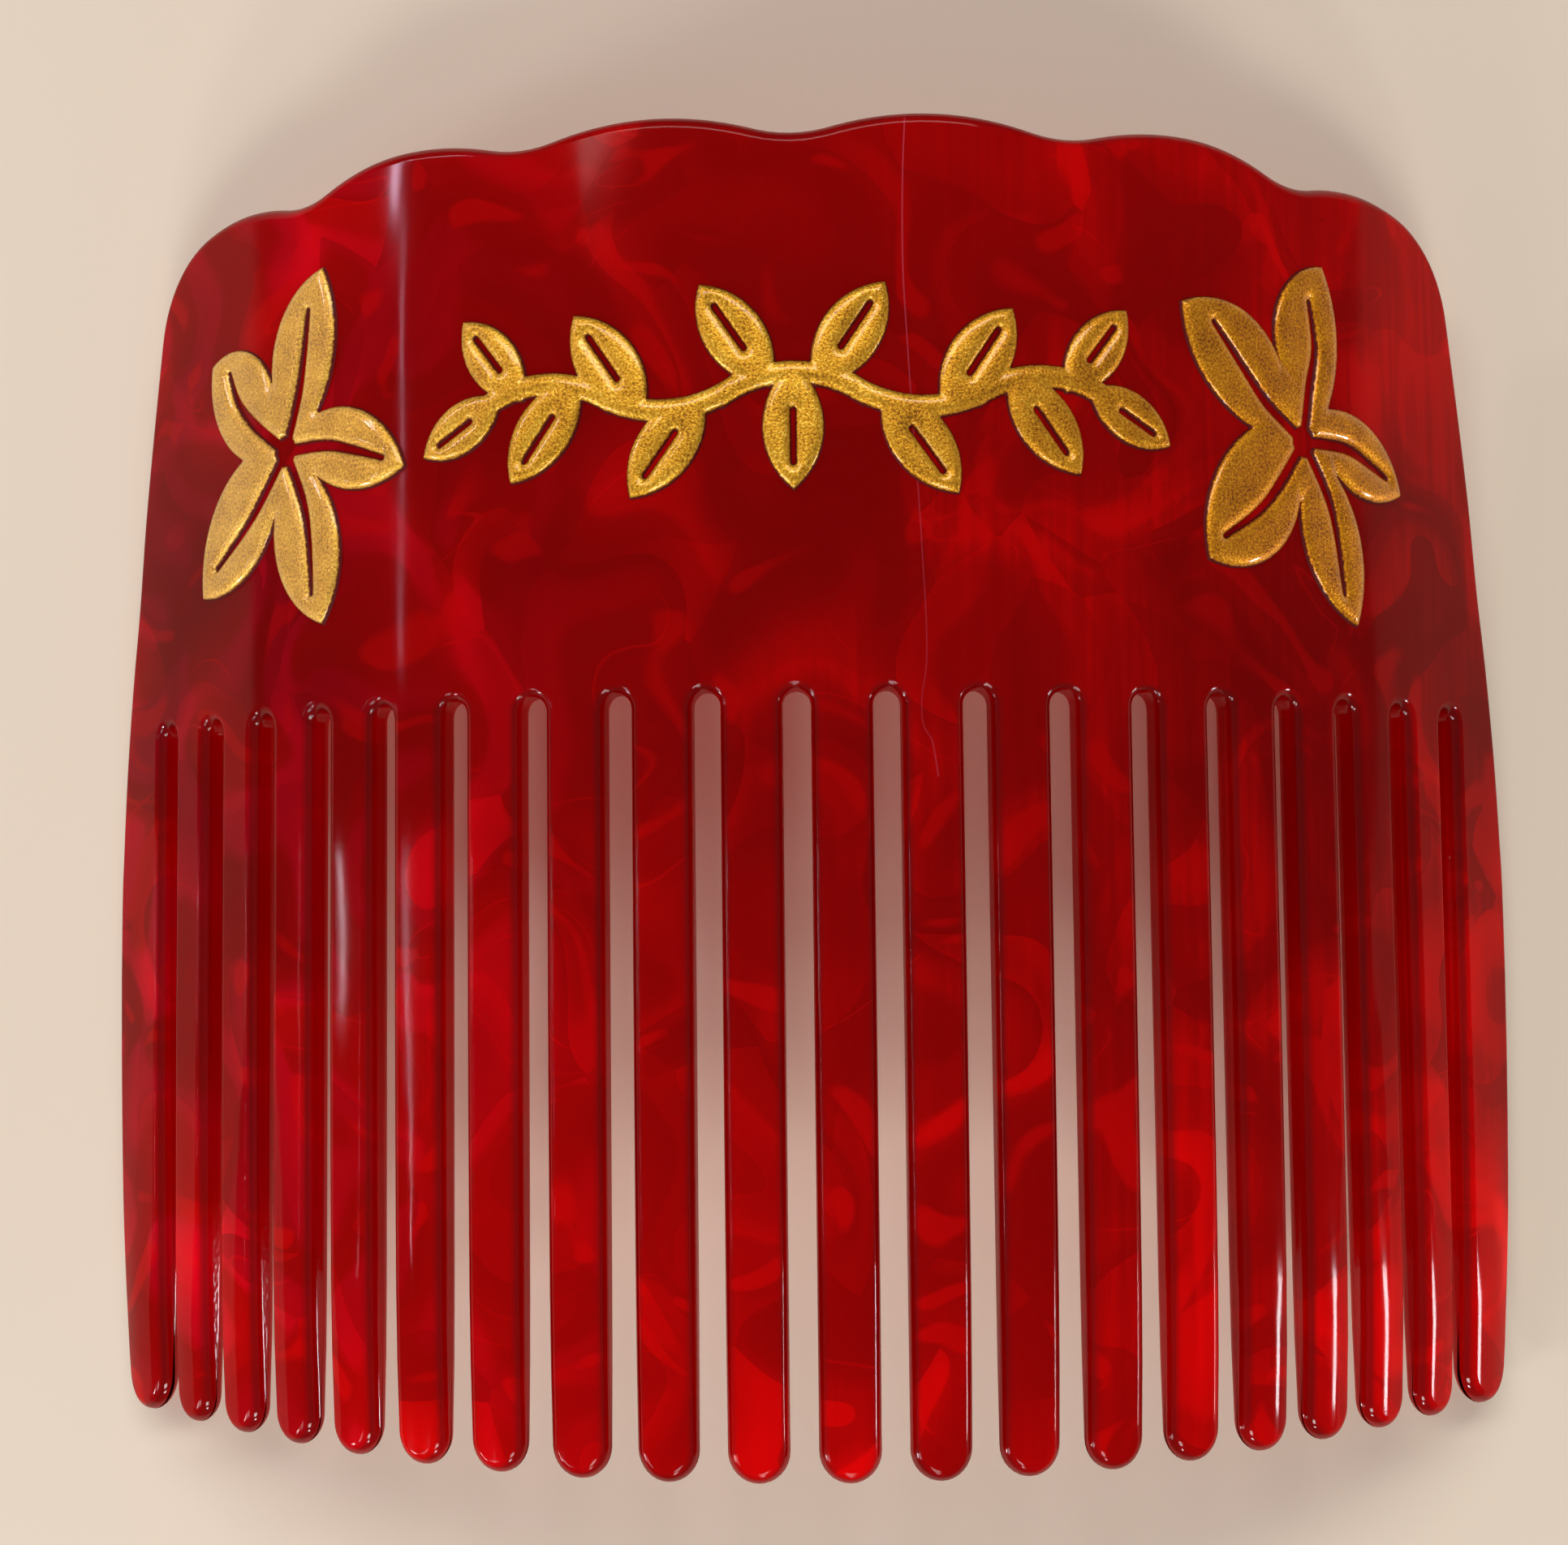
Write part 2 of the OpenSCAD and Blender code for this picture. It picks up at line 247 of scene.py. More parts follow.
def comb_outline():
    """The closed outline as (s, y, normal_s, normal_y), clockwise from the middle of the top edge."""
    half = []
    count = round(JOIN_S / WAVE_STEP)
    for k in range(count):
        s = JOIN_S * k / count
        drop, slope = top_drop(s)
        size = math.hypot(slope, 1)
        half.append((s, TOP_Y - drop, slope / size, 1 / size))
    half += arc(CORNER_S, CORNER_Y, CORNER_RADIUS, CORNER_START, CORNER_END, CORNER_STEPS)
    path = smooth_path([[s, y] for y, s in SIDE], CURVE_STEPS)
    for before, (s, y), after in zip(path, path[1:], path[2:]):
        ds = after[0] - before[0]
        dy = after[1] - before[1]
        size = math.hypot(ds, dy)
        half.append((s, y, -dy / size, ds / size))
    tip_y = TIP_Y + END_TIP_RADIUS
    half += arc(END_TIP_S, tip_y, END_TIP_RADIUS, 0, -180, END_TIP_STEPS)
    for k in range(LAST_SLOT, -1, -1):
        slot_s = PITCH * k
        half += straight(slot_s + SLOT_HALF, tip_y, SLOT_CENTRE_Y, -1)
        stop = 180 if k else 90
        half += arc(slot_s, SLOT_CENTRE_Y, SLOT_HALF, 0, stop, stop // SLOT_STEP_DEGREES, hollow=True)
        if k:
            tip_y = TIP_Y + TIP_RADIUS
            half += straight(slot_s - SLOT_HALF, SLOT_CENTRE_Y, tip_y, 1)
            half += arc(slot_s - PITCH / 2, tip_y, TIP_RADIUS, 0, -180, TIP_STEPS)
    mirrored = [(-s, y, -ns, ny) for s, y, ns, ny in reversed(half[1:-1])]
    return half + mirrored


def side_s(y):
    """Half the sheet's width at y, from the table of the side edge."""
    for (y0, s0), (y1, s1) in zip(SIDE, SIDE[1:]):
        if y1 <= y <= y0:
            return s0 + (s1 - s0) * (y0 - y) / (y0 - y1)
    return SIDE[0][1] if y > 0 else SIDE[-1][1]


def inner_points():
    """Points inside the faces, clear of the rounded edge, which follow the bend of the sheet."""
    clear = EDGE_RADIUS + INNER_CLEAR
    points = []
    row = SLOT_CENTRE_Y + SLOT_HALF + EDGE_RADIUS + FIRST_ROW_CLEAR
    while row < TOP_Y:
        for k in range(-COLUMNS_EACH_WAY, COLUMNS_EACH_WAY + 1):
            s = k * ROW_STEP * COLUMN_SHARE
            a = abs(s)
            if a > side_s(row) - clear or row > TOP_Y - top_drop(min(a, JOIN_S))[0] - clear:
                continue
            beyond = math.hypot(a - CORNER_S, row - CORNER_Y)
            if a > CORNER_S and row > CORNER_Y and beyond > CORNER_RADIUS - clear:
                continue
            points.append((s, row))
        row += ROW_STEP
    for k in range(-LAST_SLOT - 1, LAST_SLOT + 1):
        y = TIP_Y + TOOTH_LINE_START
        while y < SLOT_CENTRE_Y + TOOTH_LINE_BEYOND:
            points.append((tooth_middle(k), y))
            y += TOOTH_STEP / 2
    return points


def finish_mesh(name, verts, faces, normals, spots, inside=None):
    """A smooth mesh that keeps each point's place on the sheet and, on the gold, how far inside it lies."""
    mesh = bpy.data.meshes.new(name)
    mesh.from_pydata(verts, [], faces)
    mesh.update()
    mesh.polygons.foreach_set("use_smooth", [True] * len(mesh.polygons))
    mesh.normals_split_custom_set_from_vertices(normals)
    kept = mesh.attributes.new("sheet", "FLOAT_VECTOR", "POINT")
    kept.data.foreach_set("vector", [value for spot in spots for value in spot])
    if inside is not None:
        kept = mesh.attributes.new("inside", "FLOAT", "POINT")
        kept.data.foreach_set("value", inside)
    return mesh


def comb_mesh():
    """The comb's mesh: rings that round the edge of each face, a wall between them and the two faces."""
    outline = comb_outline()
    count = len(outline)
    verts = []
    normals = []
    spots = []
    rings = []
    faces = []

    def add(s, y, depth, along, up, out):
        thinner, slope = taper(y, depth)
        side = 1 if depth < THICKNESS / 2 else -1
        fall, lean = crown(s, y) if side > 0 else (0, 0)
        verts.append(place(s, y, depth + side * thinner + fall))
        normals.append(direction(s, along + lean * out, up - slope * out, side * out))
        spots.append((s, y, depth))

    def band(a, b):
        for i in range(count):
            j = (i + 1) % count
            faces.append((a[i], a[j], b[j], b[i]))

    for lower in (False, True):
        for k in range(EDGE_STEPS + 1):
            phi = math.pi / 2 * k / EDGE_STEPS
            along = math.cos(phi)
            out = math.sin(phi)
            inset = EDGE_RADIUS * (1 - along)
            depth = EDGE_RADIUS * (1 - out)
            at = THICKNESS - depth if lower else depth
            ring = []
            for s, y, ns, ny in outline:
                ring.append(len(verts))
                add(s - inset * ns, y - inset * ny, at, along * ns, along * ny, out)
            rings.append(ring)
    upper = rings[: EDGE_STEPS + 1]
    under = rings[EDGE_STEPS + 1 :]
    for k in range(EDGE_STEPS):
        band(upper[k + 1], upper[k])
        band(under[k], under[k + 1])
    band(upper[0], under[0])
    flat = [(s - EDGE_RADIUS * ns, y - EDGE_RADIUS * ny) for s, y, ns, ny in outline]
    edges = [(i, (i + 1) % count) for i in range(count)]
    corners_in = [Vector(p) for p in flat + inner_points()]
    flat_verts, _, flat_faces, origin, _, _ = delaunay_2d_cdt(corners_in, edges, [], 1, MERGE_DISTANCE)
    for lower, ring in ((False, upper[-1]), (True, under[-1])):
        index = {}
        depth = THICKNESS if lower else 0
        for i, source in enumerate(origin):
            if source and source[0] < count:
                index[i] = ring[source[0]]
            else:
                s, y = flat_verts[i]
                index[i] = len(verts)
                add(s, y, depth, 0, 0, 1)
        for face in flat_faces:
            corners = [index[i] for i in face]
            a, b, c = (flat_verts[i] for i in face[:3])
            turns_left = (b - a).cross(c - a) > 0
            if turns_left == lower:
                corners.reverse()
            faces.append(tuple(corners))
    return finish_mesh("comb_body", verts, faces, normals, spots)


# Gold relief: heights above the sheet, widths of its shoulder and flank, and the mesh's cell
RELIEF = 0.52
SHOULDER = 0.30
SHOULDER_WIDTH = 0.75
FLANK_WIDTH = 0.12
SUNK = 0.03
CELL = 0.1
SOFT_REACH = 0.3

# The slit of a petal: where its first points lie along the petal, and its half width at its four points
SLIT_NEAR_U = 4.3
SLIT_MIDDLE_U = 7.4
SLIT_HALVES = [0.45, 0.45, 0.35, 0.22]
EYE_RADIUS = 1.2
LEFT_FLOWER = (-41.7, 26.6)
RIGHT_FLOWER = (40.4, 25.9)
FLOWER_REACH = 15.5

# Petals: columns angle, length, left_start, left_bulge, right_start, right_bulge,
# slit at its near, middle and far point, and where the slit ends
LEFT_PETALS = [
    [73, 14, 1.4, 3.7, -0.6, 3.1, -0.2, 0.1, 0.6, 10.7],
    [-12, 12.4, -0.2, 3.8, 1.8, 2.2, 0.8, 0.7, 0.4, 10.3],
    [-73, 14.1, 0.2, 3.6, 1.5, 3.4, 0.7, 0.5, -0.4, 11.5],
    [-135, 14.5, 1.3, 3.3, -1.5, 4, 0.4, 0.4, -0.2, 11.7],
    [139, 12.1, -0.4, 3.6, 2.5, 3.6, 0.5, 0.3, -0.8, 9.8],
]
RIGHT_PETALS = [
    [80, 13.8, 3, 4.2, -0.8, 2.6, 0, -0.1, 1, 10.7],
    [141, 14.6, 0.2, 3.3, 2.4, 3.7, 0.4, 0, -0.8, 11.7],
    [-15, 11.4, -1.7, 4, 2.4, 1.8, 1.2, 1, 0.7, 9.4],
    [-68, 14.5, -0.1, 3.1, 1.3, 3, 0.8, 0.6, -0.4, 11.8],
    [-135, 13.3, 1.3, 3.9, -2, 4.3, 0.6, 0.6, -0.2, 11.1],
]
# Corners between the petals, which bound the flower's middle: columns x, y
LEFT_NOTCHES = [[3.7, 2.5], [-1.6, 5.5], [-5.1, 0], [-1.3, -5], [3.6, -2.3]]
RIGHT_NOTCHES = [[2.8, 2.8], [-2.3, 5.7], [-5.2, 0.5], [-0.6, -4.6], [3.4, -2.1]]

# The vine: a stem of arcs that bend up and down in turn, and leaves with a slit each
VINE_LOW = (-29, 17)
VINE_HIGH = (29, 39)
VINE_Y = 27.6
STEM_RADIUS = 9
STEM_HALF_WIDTH = 0.75
STEM_CHORD = 9
STEM_RISE = 7.794
STEM_OVERLAP = 0.3
STEM_ARCS = [-2, -1, 0, 1, 2]
# Leaves of the right half: columns s, rise, angle, length, half width
LEAVES = [
    [2, 0.9, 56, 8, 2.1],
    [6.8, -0.8, -54, 8, 2.1],
    [11, -0.9, 56, 8.2, 2.2],
    [15.8, 0.8, -54, 8, 2.1],
    [20, 0.8, 52, 7, 1.9],
    [22, 0.1, -30, 6.6, 1.8],
]
CENTRE_LEAF = [0, 1, -90, 8, 2.1]
LEAF_ROOT = 0.8
LEAF_SLIT_HALF = 0.25
LEAF_SLIT_SPAN = (0.28, 0.8)


def sheet_xz(s):
    """The sheet's outer face as arrays x and z, in millimetres."""
    a = np.abs(s)
    middle = np.minimum(a, MIDDLE_REACH) / MIDDLE_RADIUS
    flank = FLANK_ANGLE + np.maximum(a - MIDDLE_REACH, 0) / FLANK_RADIUS
    inner = a <= MIDDLE_REACH
    x = np.where(inner, MIDDLE_RADIUS * np.sin(middle), FLANK_X + FLANK_RADIUS * np.sin(flank))
    drop = np.where(inner, MIDDLE_RADIUS * (1 - np.cos(middle)), FLANK_DROP - FLANK_RADIUS * np.cos(flank))
    return np.sign(s) * x, CREST_Z - drop


def across(s, centre):
    """How far s lies across the plane that touches the sheet at centre."""
    turn = sheet_angle(centre)
    x, z = sheet_xz(s)
    x0, z0 = sheet_xz(np.array(float(centre)))
    return (x - x0) * math.cos(turn) - (z - z0) * math.sin(turn)


def turned(x, y, angle):
    """x and y along and across a direction that is turned by angle degrees."""
    a = math.radians(angle)
    return x * math.cos(a) + y * math.sin(a), y * math.cos(a) - x * math.sin(a)


def in_disc(u, w, start, stop, bulge, side):
    """Depth inside the disc that passes through start and stop on the line w = 0 and bulges to one side."""
    half = (stop - start) / 2
    radius = (half**2 + bulge**2) / (2 * bulge)
    return radius - np.hypot(u - (start + stop) / 2, w - side * (bulge - radius))


def off_line(u, w, points):
    """Distance from a line of (u, w, half width) points."""
    nearest = np.full(u.shape, FAR)
    for (u0, w0, h0), (u1, w1, h1) in zip(points, points[1:]):
        length = math.hypot(u1 - u0, w1 - w0)
        t = np.clip(((u - u0) * (u1 - u0) + (w - w0) * (w1 - w0)) / length**2, 0, 1)
        away = np.hypot(u - u0 - t * (u1 - u0), w - w0 - t * (w1 - w0))
        nearest = np.minimum(nearest, away - h0 - t * (h1 - h0))
    return nearest


def in_polygon(x, y, corners):
    """Depth inside a convex polygon whose corners run anticlockwise."""
    deep = np.full(x.shape, FAR)
    for (x0, y0), (x1, y1) in zip(corners, corners[1:] + corners[:1]):
        length = math.hypot(x1 - x0, y1 - y0)
        deep = np.minimum(deep, ((x1 - x0) * (y - y0) - (y1 - y0) * (x - x0)) / length)
    return deep


def flower_field(s, y, place_at, petals, notches):
    """How far each point is inside the flower's gold, in millimetres."""
    x = across(s, place_at[0])
    y = y - place_at[1]
    deep = in_polygon(x, y, notches)
    cut = np.hypot(x, y) - EYE_RADIUS
    for angle, length, left, left_bulge, right, right_bulge, near, middle, far, end in petals:
        u, w = turned(x, y, angle)
        left_side = in_disc(u, w, left, length, left_bulge, 1)
        right_side = in_disc(u, w, right, length, right_bulge, -1)
        deep = np.maximum(deep, np.minimum(left_side, right_side))
        rows = [[0, 0], [SLIT_NEAR_U, near], [SLIT_MIDDLE_U, middle], [end, far]]
        path = smooth_path(rows, CURVE_STEPS)
        halves = np.interp(np.arange(len(path)) / CURVE_STEPS, range(len(rows)), SLIT_HALVES)
        cut = np.minimum(cut, off_line(u, w, [(a, b, h) for (a, b), h in zip(path, halves)]))
    return np.minimum(deep, cut)


def leaf_field(s, y, row):
    """(depth inside a leaf's blade, distance from its slit)."""
    base, rise, angle, length, bulge = row
    u, w = turned(across(s, base), y - VINE_Y - rise, angle)
    left_side = in_disc(u, w, -LEAF_ROOT, length, bulge, 1)
    right_side = in_disc(u, w, -LEAF_ROOT, length, bulge, -1)
    half = LEAF_SLIT_HALF
    slit = [(length * k + side * half, 0, half) for k, side in zip(LEAF_SLIT_SPAN, (1, -1))]
    return np.minimum(left_side, right_side), off_line(u, w, slit)


def vine_field(s, y):
    """How far each point is inside the vine's gold, in millimetres."""
    deep = np.full(s.shape, -FAR)
    for arc_number in STEM_ARCS:
        up = 1 if arc_number % 2 == 0 else -1
        x = across(s, arc_number * STEM_CHORD)
        h = up * (y - VINE_Y) + STEM_RISE
        ring = STEM_HALF_WIDTH - np.abs(np.hypot(x, h) - STEM_RADIUS)
        reach = STEM_CHORD / 2 + STEM_OVERLAP - np.abs(x)
        deep = np.maximum(deep, np.minimum(ring, reach))
    rows = [(1, row) for row in LEAVES + [CENTRE_LEAF]] + [(-1, row) for row in LEAVES]
    cut = np.full(s.shape, FAR)
    for side, row in rows:
        blade, slit = leaf_field(side * s, y, row)
        deep = np.maximum(deep, blade)
        cut = np.minimum(cut, slit)
    return np.minimum(deep, cut)


def soften(values):
    """Each value averaged with its eight neighbours."""
    for axis in (0, 1):
        values = (np.roll(values, 1, axis) + 2 * values + np.roll(values, -1, axis)) / 4
    return values


def relief_mesh(name, field, low, high):
    """Gold relief where field(s, y) is above 0, with round shoulders and narrow flanks."""
    columns = np.arange(low[0], high[0], CELL)
    rows = np.arange(low[1], high[1], CELL)
    s, y = np.meshgrid(columns, rows, indexing="ij")
    deep = field(s, y)
    level = deep + FLANK_WIDTH
    round_part = 1 - (1 - np.clip(deep / SHOULDER_WIDTH, 0, 1)) ** 2
    top = SHOULDER + (RELIEF - SHOULDER) * round_part
    flank = (SHOULDER + SUNK) * np.clip(level / FLANK_WIDTH, 0, 1) - SUNK
    lift = np.where(deep > 0, top, flank)
    weight = np.clip(deep / SOFT_REACH, 0, 1)
    lift = lift * (1 - weight) + soften(soften(lift)) * weight
    tilt_s, tilt_y = np.gradient(soften(lift), CELL)
    index = np.full(s.shape, -1)
    verts = []
    normals = []
    spots = []
    inside = []

    def add(at_s, at_y, height, cell, depth_in):
        verts.append(place(at_s, at_y, -height))
        normals.append(direction(at_s, -float(tilt_s[cell]), -float(tilt_y[cell]), 1))
        spots.append((at_s, at_y, -height))
        inside.append(depth_in)
        return len(verts) - 1

    for i, j in np.argwhere(level > 0):
        cell = (i, j)
        index[cell] = add(s[cell], y[cell], float(lift[cell]), cell, float(deep[cell]))
    crossings = {}

    def crossing(a, b):
        key = (min(a, b), max(a, b))
        if key not in crossings:
            t = level[a] / (level[a] - level[b])
            at_s = s[a] + t * (s[b] - s[a])
            at_y = y[a] + t * (y[b] - y[a])
            crossings[key] = add(at_s, at_y, -SUNK, a, -FLANK_WIDTH)
        return crossings[key]

    faces = []
    gold_at = level > 0
    touched = gold_at[:-1, :-1] | gold_at[1:, :-1] | gold_at[1:, 1:] | gold_at[:-1, 1:]
    for i, j in np.argwhere(touched).tolist():
        corners = [(i, j), (i + 1, j), (i + 1, j + 1), (i, j + 1)]
        face = []
        for a, b in zip(corners, corners[1:] + corners[:1]):
            if index[a] >= 0:
                face.append(int(index[a]))
            if (index[a] >= 0) != (index[b] >= 0):
                face.append(crossing(a, b))
        faces.append(tuple(face))
    return finish_mesh(name, verts, faces, normals, spots, inside)


# Materials
class Nodes:
    """A short way to add nodes to a material and to link them."""

    def __init__(self, name):
        self.material = bpy.data.materials.new(name)
        self.material.use_nodes = True
        self.tree = self.material.node_tree
        self.tree.nodes.clear()

    def set(self, socket, value):
        if isinstance(value, bpy.types.NodeSocket):
            self.tree.links.new(value, socket)
        else:
            socket.default_value = value

    def add(self, kind, values=None, **settings):
        node = self.tree.nodes.new(kind)
        for key, value in settings.items():
            setattr(node, key, value)
        for key, value in (values or {}).items():
            self.set(node.inputs[key], value)
        return node

    def ramp(self, factor, stops, mode="EASE"):
        node = self.add("ShaderNodeValToRGB", {"Fac": factor})
        node.color_ramp.interpolation = mode
        elements = node.color_ramp.elements
        while len(elements) < len(stops):
            elements.new(0.5)
        for element, (place_at, colour) in zip(elements, stops):
            element.position = place_at
            element.color = (*colour, 1)
        return node.outputs["Color"]

    def math(self, operation, a, b=0.0):
        return self.add("ShaderNodeMath", {0: a, 1: b}, operation=operation).outputs[0]

    def vector_math(self, operation, a, b):
        return self.add("ShaderNodeVectorMath", {0: a, 1: b}, operation=operation).outputs[0]

    def mix(self, factor, a, b, blend="MIX"):
        node = self.add("ShaderNodeMix", data_type="RGBA", blend_type=blend)
        for socket, value in ((node.inputs[0], factor), (node.inputs[6], a), (node.inputs[7], b)):
            self.set(socket, (*value, 1) if isinstance(value, tuple) else value)
        return node.outputs[2]

    def times(self, colour, tint):
        return self.mix(1.0, colour, tint, "MULTIPLY")

    def attribute(self, name, output):
        return self.add("ShaderNodeAttribute", attribute_name=name).outputs[output]

    def parts(self, vector):
        return self.add("ShaderNodeSeparateXYZ", {0: vector}).outputs

    def scaled(self, vector, s_scale, y_scale, depth_scale=1.0, shift=(0, 0, 0)):
        values = {"Vector": vector, "Scale": (s_scale, y_scale, depth_scale), "Location": shift}
        return self.add("ShaderNodeMapping", values).outputs[0]

    def noise(self, vector, scale, detail=2.0, roughness=0.5, solid=False):
        values = {"Vector": vector, "Scale": scale, "Detail": detail, "Roughness": roughness}
        kind = "3D" if solid else "2D"
        return self.add("ShaderNodeTexNoise", values, noise_dimensions=kind).outputs["Fac"]

    def facets(self, vector, scale):
        """A grey value for each cell, like the faces of crumpled foil."""
        values = {"Vector": vector, "Scale": scale}
        cells = self.add("ShaderNodeTexVoronoi", values, feature="F1", voronoi_dimensions="2D")
        return self.add("ShaderNodeSeparateColor", {"Color": cells.outputs["Color"]}).outputs[0]

    def stretch(self, value, low, high, to_low=0.0, to_high=1.0, mode="LINEAR"):
        values = {"Value": value, "From Min": low, "From Max": high, "To Min": to_low, "To Max": to_high}
        return self.add("ShaderNodeMapRange", values, interpolation_type=mode).outputs[0]

    def bump(self, height, strength, distance):
        values = {"Height": height, "Strength": strength, "Distance": distance}
        return self.add("ShaderNodeBump", values).outputs[0]

    def principled(self, values):
        return self.add("ShaderNodeBsdfPrincipled", values).outputs[0]

    def finish(self, surface):
        self.add("ShaderNodeOutputMaterial", {"Surface": surface})
        return self.material


# The red at rising values of the pearl pattern: columns value, colour
PEARL_STOPS = [
    [0.32, (0.195, 0.0002, 0.0004)],
    [0.44, (0.24, 0.0003, 0.0006)],
    [0.54, (0.29, 0.0004, 0.0008)],
    [0.64, (0.385, 0.0006, 0.001)],
    [0.78, (0.58, 0.0008, 0.0014)],
]

# How much each layer of the pattern counts
FACET_SHARE = 0.30
PATCH_SHARE = 0.13
CLOUD_SHARE = 0.55
THREAD_SHARE = 0.22

# The scale of each layer, how far the warp bends the others, and shifts that keep them apart
WARP_SCALE = 0.09
FACET_SCALE = 0.15
PATCH_SCALE = 0.16
CLOUD_SCALE = 0.085
THREAD_SCALE = 1.3
GLINT_SCALE = 0.2
FOLD_SCALE = 0.12
WARP = (14, 14, 0)
PATCH_SHIFT = (31, 17, 0)
GLINT_SHIFT = (9, 70, 0)
FOLD_SHIFT = (3, 3, 0)

# Where each layer or tint fades in: a texture's value or a place on the sheet, at its start and its end
PATCH_FADE = (0.42, 0.60)
GLINT_FADE = (0.68, 0.80)
CURL_FADE = (0.52, 0.64)
THREAD_FADE_S = (15, 40)
ROSE_SHEEN_FADE_S = (-10, -55)
TOOTH_LIGHT_FADE_Y = (10, -25)
FLANK_LIGHT_FADE_S = (42, 58)
EDGE_FADE_DEPTH = (0.005, 0.22)

# Colours of the rose tint (a painted reflection toward the left), the glints and the curled lines, and how
# strong each gets
ROSE_SHEEN_TINT = (1.15, 1.0, 22.0)
ROSE_SHEEN_STRENGTH = 0.7
GLINT_RED = (0.60, 0.001, 0.002)
GLINT_STRENGTH = 0.4
CURL_RED = (0.7, 0.003, 0.003)
CURL_STRENGTH = 0.35
CURL_WIDTH = 0.014

# How far the clouds move the left end of the threads, and the painted light that makes the teeth and the
# right flank brighter
THREAD_SWAY = 40
TOOTH_LIGHT_TINT = (1.44, 1.2, 1.2)
FLANK_LIGHT_TINT = (1.3, 1.0, 1.0)

# Roughness at the clouds' dark and light ends
ROUGH_FADE = (0.3, 0.7)
ROUGHNESS_DARK = 0.05
ROUGHNESS_LIGHT = 0.09

# Painted shade in the rounded edges and walls, and how much the layers there vary it
EDGE_SHADE_LEVEL = 0.46
LAYER_CONTRAST = 0.9

# Slow waves in the faces and fine ripples in the edges: scales, and how far from the slots' ends the
# ripples calm down, with their strength there and beyond
WAVE_SCALE = 0.1
RIPPLE_SCALE = 2.6
RIPPLE_NEAR = 0.6
RIPPLE_FAR = 1.8
RIPPLE_AT_SLOTS = 0.3
RIPPLE_ELSEWHERE = 0.07

# The light that passes through the plastic: its tint of the pattern, an even red and that red's share,
# the red of the edges, and the share of this light in the whole
GLOW_TINT = (3.3, 14.0, 8.0)
GLOW_RED = (1.0, 0.005, 0.006)
GLOW_EVENNESS = 0.6
GLOW_EDGE_RED = (0.62, 0.003, 0.003)
GLOW_SHARE = 0.66

# The hairline crack right of the middle: columns y, s
CRACK = [
    [50, 8.3],
    [38, 7.8],
    [30, 8.1],
    [16, 8.9],
    [9, 9.1],
    [5, 8.7],
    [3, 9.4],
    [0.5, 9.8],
]
# Its half width and the share of that at full strength, the s range of its curve, and how it fades in places
CRACK_HALF = 0.07
CRACK_CORE = 0.4
CRACK_LEFT_S = 7.0
CRACK_SPAN_S = 4.0
CRACK_FADE = (0.35, 0.6)
CRACK_FAINT = 0.25
CRACK_STRONG = 0.85
CRACK_COLOUR = (0.62, 0.10, 0.16)


def pearl_colour(n, sheet):
    """(the pearly red, the pattern's slow cloudy layer), from the place on the sheet."""
    warp_values = {"Vector": sheet, "Scale": WARP_SCALE, "Detail": 0.0}
    warp = n.add("ShaderNodeTexNoise", warp_values, noise_dimensions="2D").outputs["Color"]
    bent = n.vector_math("ADD", sheet, n.vector_math("MULTIPLY", warp, WARP))
    large = n.facets(n.scaled(bent, 1, 0.8), FACET_SCALE)
    patch = n.noise(n.scaled(bent, 1, 0.7, shift=PATCH_SHIFT), PATCH_SCALE, detail=0.0)
    small = n.stretch(patch, *PATCH_FADE, mode="SMOOTHSTEP")
    cloud = n.noise(n.scaled(bent, 1, 0.7), CLOUD_SCALE, detail=1.0)
    value = n.math("MULTIPLY", large, FACET_SHARE)
    value = n.math("ADD", value, n.math("MULTIPLY", small, PATCH_SHARE))
    value = n.math("ADD", value, n.math("MULTIPLY", cloud, CLOUD_SHARE))

    # Fine threads along y, on the right
    s = n.parts(sheet)[0]
    threads = n.noise(n.scaled(sheet, 1, 0.045), THREAD_SCALE, detail=1.0)
    where = n.stretch(n.math("ADD", s, n.math("MULTIPLY", cloud, THREAD_SWAY)), *THREAD_FADE_S)
    streaky = n.math("MULTIPLY", n.math("SUBTRACT", threads, 0.5), n.math("MULTIPLY", where, THREAD_SHARE))
    colour = n.ramp(n.math("ADD", value, streaky), PEARL_STOPS, "LINEAR")

    # A rose tint at the left, a painted reflection of the pinkish sheen there, then bright glints and curled
    # lines
    rose_sheen = n.math("MULTIPLY", small, n.stretch(s, *ROSE_SHEEN_FADE_S, 0, ROSE_SHEEN_STRENGTH))
    colour = n.mix(rose_sheen, colour, n.times(colour, ROSE_SHEEN_TINT))
    glints = n.noise(n.scaled(bent, 1, 1.2, shift=GLINT_SHIFT), GLINT_SCALE, detail=0.0)
    glint = n.stretch(glints, *GLINT_FADE, 0, GLINT_STRENGTH, "SMOOTHSTEP")
    colour = n.mix(glint, colour, GLINT_RED)
    fold = n.noise(n.scaled(bent, 0.6, 1.3, shift=FOLD_SHIFT), FOLD_SCALE, detail=0.0)
    crease = n.math("ABSOLUTE", n.math("SUBTRACT", fold, 0.5))
    line = n.stretch(crease, 0.0, CURL_WIDTH, CURL_STRENGTH, 0.0)
    curl = n.math("MULTIPLY", line, n.stretch(cloud, *CURL_FADE))
    return n.mix(curl, colour, CURL_RED), cloud


